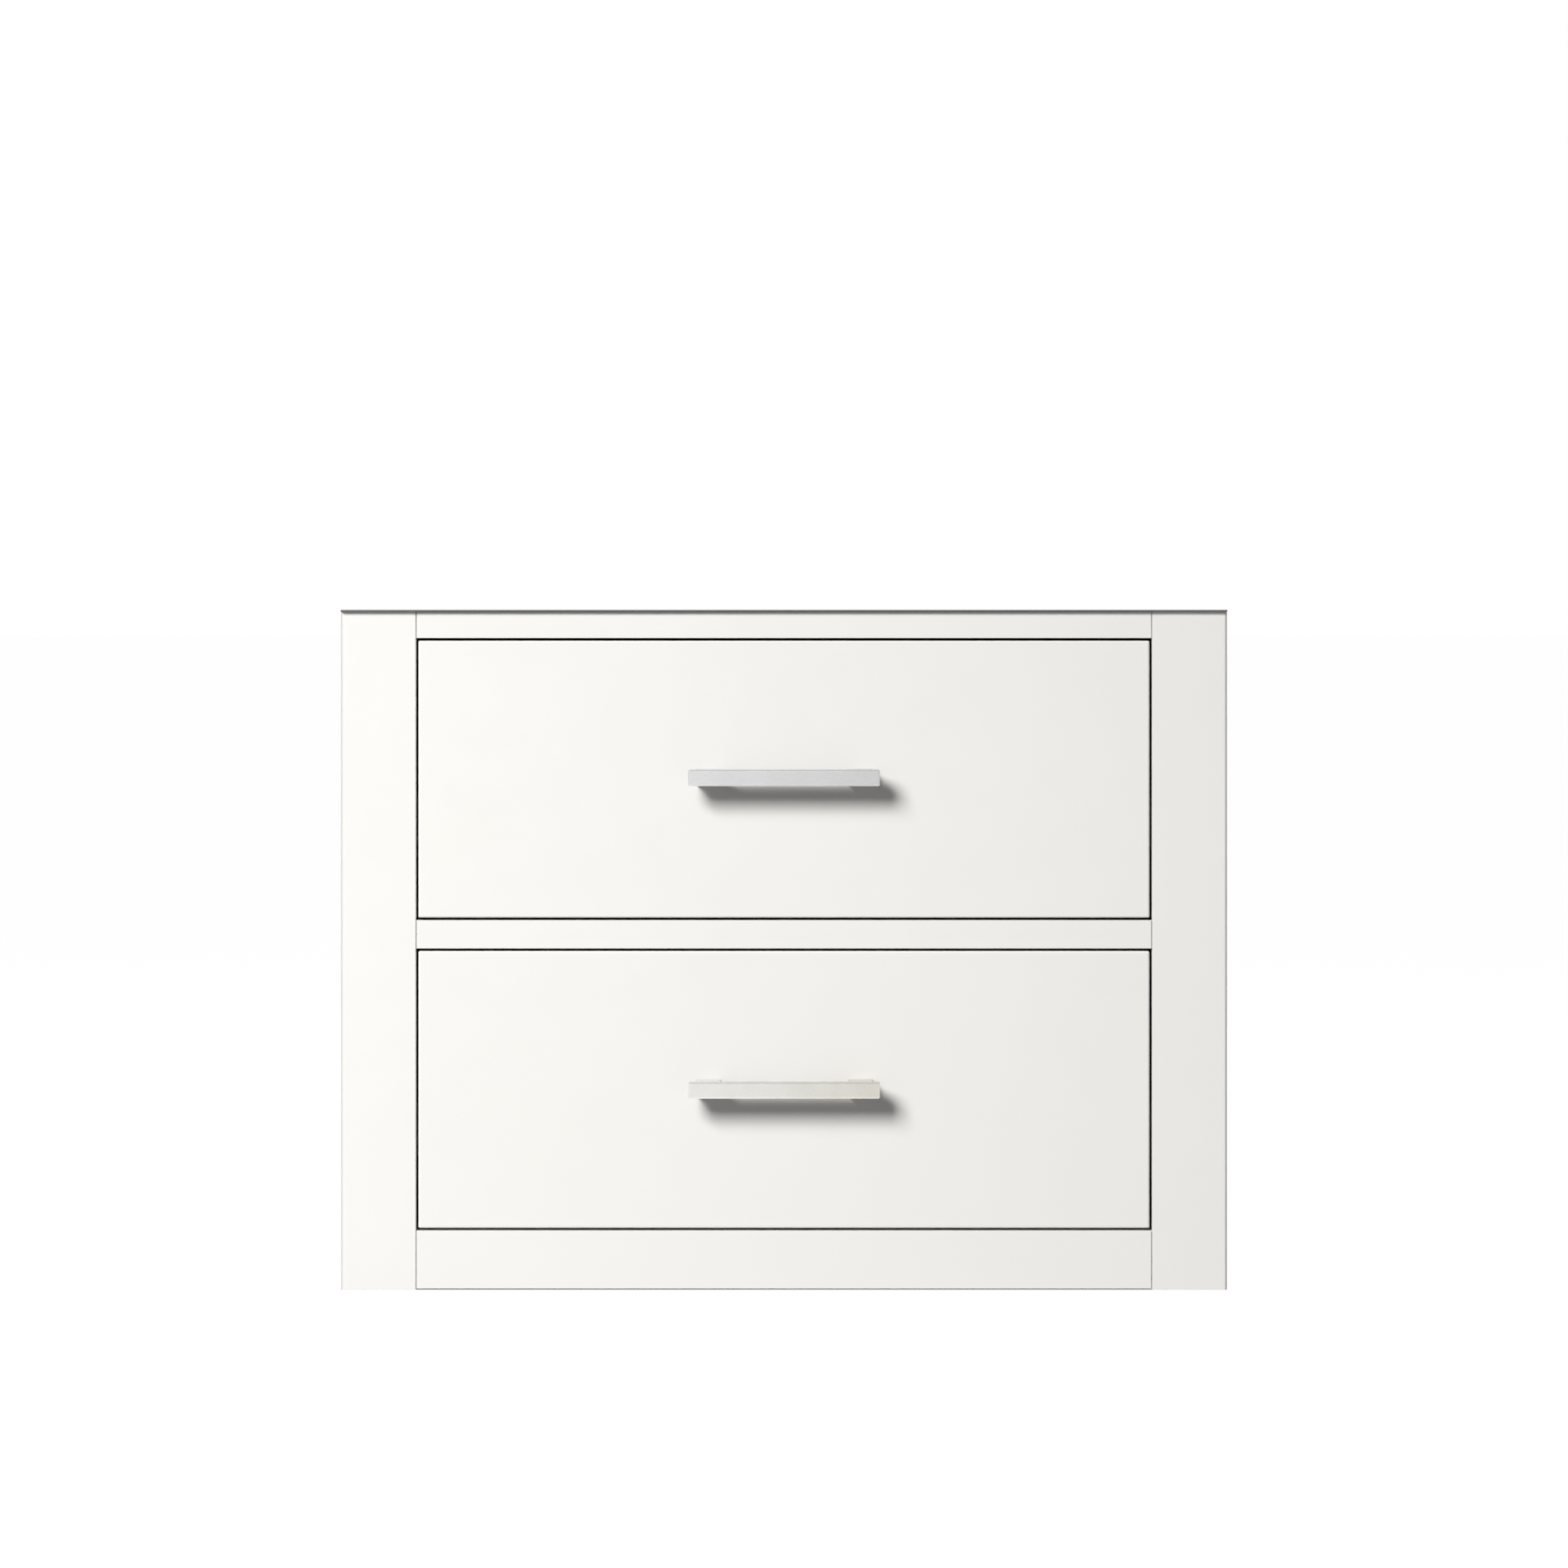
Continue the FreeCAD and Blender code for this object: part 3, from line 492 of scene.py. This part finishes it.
zincLook = {
    "tone": (0.60, 0.615, 0.635),
    "edge": (0.82, 0.82, 0.83),
    "edgeAmount": 0.7,
    "edgeRadius": 0.4 * mm,
    "edgeGain": 2.5,
    "roughness": (0.28, 0.40),
    "streakSize": 0.5 * mm,
    "streakHeight": 0.01 * mm,
    "streakSwing": (-0.06, 0.08),    # what the streaks add to the roughness
    "spangleScale": 190.0,
}


def makeZinc():
    # zinc plate on pressed steel: soft spangle cells, drawn streaks along the length, brighter edges
    look = zincLook
    material, tree, shader, place = startMaterial("zincSteel", Metallic=1.0)
    turn = addNode(tree, "ShaderNodeMapping", {"Rotation": grainTurns["y"]})
    cells = addNode(tree, "ShaderNodeTexVoronoi", {"Scale": look["spangleScale"], "Randomness": 1.0})
    wire(tree, (place, turn.inputs[0]), (place, cells.inputs[0]))
    brush = useGroup(tree, brushing, {"Streak Size": look["streakSize"], "Streak Length": 25.0},
                     Vector=turn.outputs[0])
    edge = useGroup(tree, edgeWearAndHighlight, {"Radius": look["edgeRadius"], "Gain": look["edgeGain"]})
    spangle = addNode(tree, "ShaderNodeSeparateColor")
    wire(tree, (cells.outputs["Color"], spangle.inputs[0]))
    cell = spread(tree, spangle.outputs[0], 0.0, 1.0, 0.0, 0.55)
    base = blendColour(tree, cell, look["tone"], toned(look["tone"], 0.8))
    edgeTinted = blendColour(tree, calc(tree, "MULTIPLY", edge["Mask"], look["edgeAmount"]), base, look["edge"])
    rough = calc(tree, "ADD", spread(tree, brush["Streaks"], 0.3, 0.7, *look["streakSwing"]),
                 spread(tree, spangle.outputs[1], 0.0, 1.0, *look["roughness"]), clamp=True)
    wire(tree, (edgeTinted, shader["Base Color"]), (rough, shader["Roughness"]))
    addBump(tree, shader, brush["Streaks"], look["streakHeight"], edge["Normal"])
    return material


print("scene: mixing the finishes")
whiteLacquer = makeLacquer("whiteLacquer")
stileLacquer = makeLacquer("stileLacquer", rimmed=True)
topSheet = makeTopSheet()
brushedNickel = {level: makeNickel(level) for level in levels}
drawerWood = {axis: makeWood("drawerWood", axis) for axis in "xy"}
beech = makeWood("beech", "y")
plywood = {pair: makePlywood(*pair) for pair in ("xz", "yz", "yx", "xy")}
backBoard = makeBackBoard()
zincSteel = makeZinc()


# which CAD node wears which finish

def finishOf(name):
    if name == "top_sheet":
        return topSheet
    if name.endswith("stile"):
        return stileLacquer
    if name == "back_panel":
        return backBoard
    if name == "carcass_dowels":
        return beech
    if name.endswith("screws") or "runner_outer" in name or "runner_middle" in name \
            or "runner_inner" in name or "cages" in name:
        return zincSteel
    if "handle" in name:
        return brushedNickel[name.split("_")[0]]
    if name.endswith("box_front") or name.endswith("box_back"):
        return drawerWood["x"]
    if "drawer" in name and name.endswith("side"):
        return drawerWood["y"]
    if name in ("top_board", "bottom_panel") or name.endswith("drawer_bottom"):
        return plywood["xz"]
    if name.endswith("runner_block"):
        return plywood["yx"]
    if name == "rear_bottom_rail":
        return plywood["xy"]
    if name == "corner_blocks":
        return plywood["yz"]
    return whiteLacquer


def dressCadNodes():
    for name, node in nodes.items():
        node.data.materials.clear()
        node.data.materials.append(finishOf(name))


print("scene: dressing the CAD pieces")
dressCadNodes()


# surfaces worked out as arrays

def filleted(points, radius, steps):
    # open outline whose inner corners become arcs: an arc's centre lies radius / cos(half turn) from the
    # corner along its bisector, and its points are the centre plus the radius times the turning normal
    points = np.array(points, float)
    runs = np.diff(points, axis=0)
    runs /= np.linalg.norm(runs, axis=1)[:, None]
    normals = np.stack([-runs[:, 1], runs[:, 0]], 1)
    places, leans = [points[:1]], [normals[:1]]
    for corner, before, after in zip(points[1:-1], normals[:-1], normals[1:]):
        turn = math.atan2(before[0] * after[1] - before[1] * after[0], before @ after)
        side = -math.copysign(1.0, turn)
        angles = math.atan2(before[1], before[0]) + np.linspace(0, turn, steps)
        lean = np.stack([np.cos(angles), np.sin(angles)], 1)
        bisector = (before + after) / np.linalg.norm(before + after)
        centre = corner - side * bisector * radius / math.cos(turn / 2)
        places.append(centre + side * radius * lean)
        leans.append(lean)
    return (np.concatenate(places + [points[-1:]]), np.concatenate(leans + [normals[-1:]]))


def slabSurface(low, high, profile, lean, cornerRadius, steps):
    # each profile row (out, y) gives one ring: the slab's outline in X and Z, a rounded rectangle, grown by
    # out; the normal is the outline's own, tilted along Y by the profile's
    middle, half = (np.array(low) + np.array(high)) / 2, (np.array(high) - np.array(low)) / 2
    quarter = np.repeat(np.arange(4), steps) * np.pi / 2
    turn = quarter + np.tile(np.linspace(0, np.pi / 2, steps), 4)
    signX, signZ = np.sign(np.cos(quarter + np.pi / 4)), np.sign(np.sin(quarter + np.pi / 4))
    out, y = profile[:, :1], profile[:, 1:]
    radius = np.maximum(cornerRadius + out, 0.02 * mm)
    x = middle[0] + signX * (half[0] + out - radius) + radius * np.cos(turn)
    z = middle[2] + signZ * (half[2] + out - radius) + radius * np.sin(turn)
    rings = np.stack([x, y + 0 * x, z], 2)
    normals = np.stack([lean[:, :1] * np.cos(turn), lean[:, 1:] + 0 * turn, lean[:, :1] * np.sin(turn)], 2)
    count, around = rings.shape[:2]
    start = np.arange(count - 1)[:, None] * around + np.arange(around)[None, :]
    after = np.arange(count - 1)[:, None] * around + (np.arange(around)[None, :] + 1) % around
    quads = np.stack([start, after, after + around, start + around], 2).reshape(-1, 4)
    caps = [np.arange(around)[::-1], np.arange((count - 1) * around, count * around)]
    return rings.reshape(-1, 3), normals.reshape(-1, 3), quads, caps


def softSlab(low, high, front, back, arris, cornerRadius, steps=5):
    # the slab's edge profile from its back face round to its front one: bevels by size, their arrises eased
    inner = -2 * max(front, back)
    profile, lean = filleted([(inner, high[1]), (-back, high[1]), (0, high[1] - back), (0, low[1] + front),
                              (-front, low[1]), (inner, low[1])], arris, steps)
    return slabSurface(low, high, profile[1:-1], lean[1:-1], cornerRadius, steps)


def makePiece(name, surfaces, material, body, slot, *replaced):
    # one mesh from one or more closed surfaces
    points = np.concatenate([surface[0] for surface in surfaces])
    normals = np.concatenate([surface[1] for surface in surfaces])
    faces, start = [], 0
    for surfacePoints, _, quads, caps in surfaces:
        faces += (quads + start).tolist() + [(cap + start).tolist() for cap in caps]
        start += len(surfacePoints)
    mesh = bpy.data.meshes.new(name)
    mesh.from_pydata(points.tolist(), [], faces)
    mesh.polygons.foreach_set("use_smooth", np.ones(len(mesh.polygons), bool))
    mesh.normals_split_custom_set_from_vertices(normals.tolist())
    mesh.materials.append(material)
    piece = bpy.data.objects.new(name, mesh)
    bpy.context.scene.collection.objects.link(piece)
    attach(piece, body)
    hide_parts(*replaced)


def boxOf(name):
    return tuple(np.array(tuple(corner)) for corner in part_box(name))


# drawer fronts: painted boards with a small round all the way round the face

frontShape = {
    "round": 1.0 * mm,
    "backBevel": 0.4 * mm,
    "arris": 0.9 * mm,
    "corner": 1.3 * mm,
    "steps": 6,
}


def makeDrawerFront(level):
    shape = frontShape
    low, high = boxOf(f"{level}_drawer_front")
    board = softSlab(low, high, shape["round"], shape["backBevel"], shape["arris"], shape["corner"],
                     shape["steps"])
    makePiece(f"{level}DrawerFront", [board], whiteLacquer, f"{level}_drawer", "white_lacquer",
              f"{level}_drawer_front")


# handles: a flat bar on two feet, its front arrises planed to a narrow bevel that carries a painted highlight

handleShape = {
    "bevel": 1.4 * mm,
    "backBevel": 0.5 * mm,
    "arris": 0.18 * mm,
    "corner": 1.4 * mm,
    "footWidth": 21 * mm,
    "footBevel": 0.5 * mm,
    "footCorner": 0.7 * mm,
}


def makeHandle(level):
    shape = handleShape
    low, high = boxOf(f"{level}_handle_bar")
    bar = softSlab(low, high, shape["bevel"], shape["backBevel"], shape["arris"], shape["corner"])
    makePiece(f"{level}HandleBar", [bar], brushedNickel[level], f"{level}_drawer", "brushed_nickel",
              f"{level}_handle_bar")
    low, high = boxOf(f"{level}_handle_feet")
    width, bevel = shape["footWidth"], shape["footBevel"]
    feet = []
    for x0, x1 in ((low[0], low[0] + width), (high[0] - width, high[0])):
        feet.append(softSlab((x0, low[1], low[2]), (x1, high[1], high[2]), bevel, bevel, shape["arris"],
                             shape["footCorner"]))
    makePiece(f"{level}HandleFeet", feet, brushedNickel[level], f"{level}_drawer", "brushed_nickel",
              f"{level}_handle_feet")


print("scene: making the fronts and handles")
for level in levels:
    makeDrawerFront(level)
    makeHandle(level)


# light, floor and camera

stageLook = {
    "floorTone": (0.12, 0.12, 0.12),
    "floorGlow": 0.98,           # to the eye
    "floorMirrored": 0.77,       # to what it is mirrored in, and nearer the cabinet
    "floorMirroredNear": 1.0,
    "floorUnderShade": 0.30,          # painted shade: share of the glow left under the cabinet
    "floorSize": 160.0,
    "floorBlend": (-2.0, -0.8),  # from here to here along Y its mirrored glow goes from far to near
    "skySeen": 1.0,
    "skyBelow": 0.24,            # fill light from under and from over the horizon
    "skyAbove": 0.07,
    "skyMirrored": 0.81,
    "skyMirroredHigh": 0.80,
    "white": (1.0, 0.995, 0.985),
    "lights": {                  # place, aim, size, power, spread in degrees
        "key": ((-2.01, -3.57, 2.39), (0.48, -0.21, -3.10), 1.73, 137.0, 120.0),
        "leftBack": ((-1.2, 2.8, 0.95), (0.0, 0.0, 0.3), 1.6, 24.0, 150.0),
        "rightBack": ((2.4, 1.9, 0.95), (0.0, 0.0, 0.3), 1.6, 44.0, 150.0),
        "overhead": ((0.2, 0.5, 2.6), (0.0, 0.05, 0.3), 1.4, 8.0, 140.0),
    },
}
cameraLook = {
    "distance": 4.75,            # from the face frame to the lens
    "height": 0.579,
    "seenWidth": 1.350,          # how much of the face frame's plane the picture spans
    "sensor": 36.0,
    "shift": -0.10626,
}


def makeFloor():
    size = stageLook["floorSize"]
    corners = [(-size, -size, 0), (size, -size, 0), (size, size, 0), (-size, size, 0)]
    mesh = bpy.data.meshes.new("floor")
    mesh.from_pydata(corners, [], [(0, 1, 2, 3)])
    floor = bpy.data.objects.new("floor", mesh)
    bpy.context.scene.collection.objects.link(floor)
    material, tree, shader, place = startMaterial("paleFloor", Roughness=0.9, Specular_IOR_Level=0.0)
    noise = addNode(tree, "ShaderNodeTexNoise", {"Scale": 3.0, "Detail": 2.0})
    ray = addNode(tree, "ShaderNodeLightPath")
    axes = addNode(tree, "ShaderNodeSeparateXYZ")
    wire(tree, (place, noise.inputs[0]), (place, axes.inputs[0]))
    tone = stageLook["floorTone"]
    base = blendColour(tree, noise.outputs[0], tone, toned(tone, 0.97))
    left, right, back = boxOf("left_stile")[0], boxOf("right_stile")[1], boxOf("back_panel")[1]
    across = calc(tree, "LESS_THAN", calc(tree, "ABSOLUTE", axes.outputs[0]), float(right[0]))
    behindFace = calc(tree, "GREATER_THAN", axes.outputs[1], float(left[1]))
    beforeBack = calc(tree, "LESS_THAN", axes.outputs[1], float(back[1]))
    under = calc(tree, "MULTIPLY", across, calc(tree, "MULTIPLY", behindFace, beforeBack))
    glow = stageLook["floorGlow"]
    mirrored = spread(tree, axes.outputs[1], *stageLook["floorBlend"], stageLook["floorMirrored"],
                      stageLook["floorMirroredNear"])
    step = calc(tree, "SUBTRACT", mirrored, glow)
    glowNow = calc(tree, "ADD", calc(tree, "MULTIPLY", ray.outputs["Is Glossy Ray"], step), glow)
    # painted shade under the cabinet: less glow there
    underShade = spread(tree, under, 0.0, 1.0, 1.0, stageLook["floorUnderShade"])
    wire(tree, (base, shader["Base Color"]),
         (calc(tree, "MULTIPLY", glowNow, underShade), shader["Emission Strength"]))
    shader["Emission Color"].default_value = (1, 1, 1, 1)
    mesh.materials.append(material)
    floor.visible_diffuse = False


def makeSky():
    # white to the camera, dimmer to what it lights and to what it is mirrored in
    world = bpy.data.worlds.new("studio")
    world.use_nodes = True
    tree = world.node_tree
    tree.nodes.clear()
    ray = addNode(tree, "ShaderNodeLightPath")
    axes = addNode(tree, "ShaderNodeSeparateXYZ")
    wire(tree, (addNode(tree, "ShaderNodeTexCoord").outputs["Generated"], axes.inputs[0]))
    background = addNode(tree, "ShaderNodeBackground", {"Color": (1, 1, 1, 1)})
    output = addNode(tree, "ShaderNodeOutputWorld")
    fill = spread(tree, axes.outputs[2], -0.4, 0.4, stageLook["skyBelow"], stageLook["skyAbove"])
    gloss = spread(tree, axes.outputs[2], 0.2, 0.9, stageLook["skyMirrored"], stageLook["skyMirroredHigh"])
    strength = fill
    for seenBy, value in (("Is Glossy Ray", gloss), ("Is Camera Ray", stageLook["skySeen"])):
        step = calc(tree, "MULTIPLY", calc(tree, "SUBTRACT", value, fill), ray.outputs[seenBy])
        strength = calc(tree, "ADD", strength, step)
    wire(tree, (strength, background.inputs["Strength"]), (background.outputs[0], output.inputs[0]))
    bpy.context.scene.world = world


def aimAt(thing, place, target):
    thing.location = place
    direction = np.array(target) - np.array(place)
    thing.rotation_euler = Vector(direction).to_track_quat("-Z", "Y").to_euler()


def makeSoftboxes():
    for name, (place, target, size, power, opening) in stageLook["lights"].items():
        light = bpy.data.lights.new(name, "AREA")
        light.shape = "SQUARE"
        light.size = size
        light.energy = power
        light.spread = math.radians(opening)
        light.color = stageLook["white"]
        thing = bpy.data.objects.new(name, light)
        bpy.context.scene.collection.objects.link(thing)
        thing.visible_camera = False
        thing.visible_glossy = name == "key"      # the fill lights don't show in what mirrors them
        aimAt(thing, place, target)


def makeCamera():
    lens = bpy.data.cameras.new("camera")
    lens.sensor_width = cameraLook["sensor"]
    lens.lens = cameraLook["sensor"] * cameraLook["distance"] / cameraLook["seenWidth"]
    lens.shift_y = cameraLook["shift"]
    lens.clip_end = 400.0
    camera = bpy.data.objects.new("camera", lens)
    bpy.context.scene.collection.objects.link(camera)
    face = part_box("left_stile")[0].y
    camera.location = (0.0, face - cameraLook["distance"], cameraLook["height"])
    camera.rotation_euler = (math.pi / 2, 0, 0)
    bpy.context.scene.camera = camera


print("scene: setting the stage")
makeFloor()
makeSky()
makeSoftboxes()
makeCamera()
bpy.context.scene.view_settings.view_transform = "Standard"
